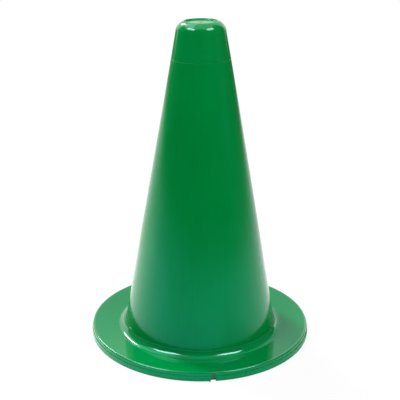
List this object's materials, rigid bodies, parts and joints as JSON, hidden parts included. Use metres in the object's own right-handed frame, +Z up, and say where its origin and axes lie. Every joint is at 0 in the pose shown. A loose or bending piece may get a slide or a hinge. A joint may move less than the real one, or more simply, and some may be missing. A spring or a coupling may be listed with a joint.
{
  "type": "marker cone",
  "caption": "Hollow tapered marker cone with a closed, rounded nose, open underneath, on a wide round foot with a raised rim.",
  "frame": {"origin": "on the floor, at the middle of the base", "axes": "+Z up along the cone's own axis; -Y is the front, which the small rim notch nearly faces; +X is the viewer's right from the front"},
  "size_m": [0.215, 0.2155, 0.305],
  "materials": {
    "green_vinyl": "glossy moulded soft vinyl",
    "green_ring_vinyl": "glossy moulded vinyl, a little duller than the rest"
  },
  "bodies": {
    "root": {"cone_wall": "green_vinyl", "nose_cap": "green_vinyl", "base_flange": "green_vinyl", "base_ring": "green_ring_vinyl"}
  },
  "joints": []
}
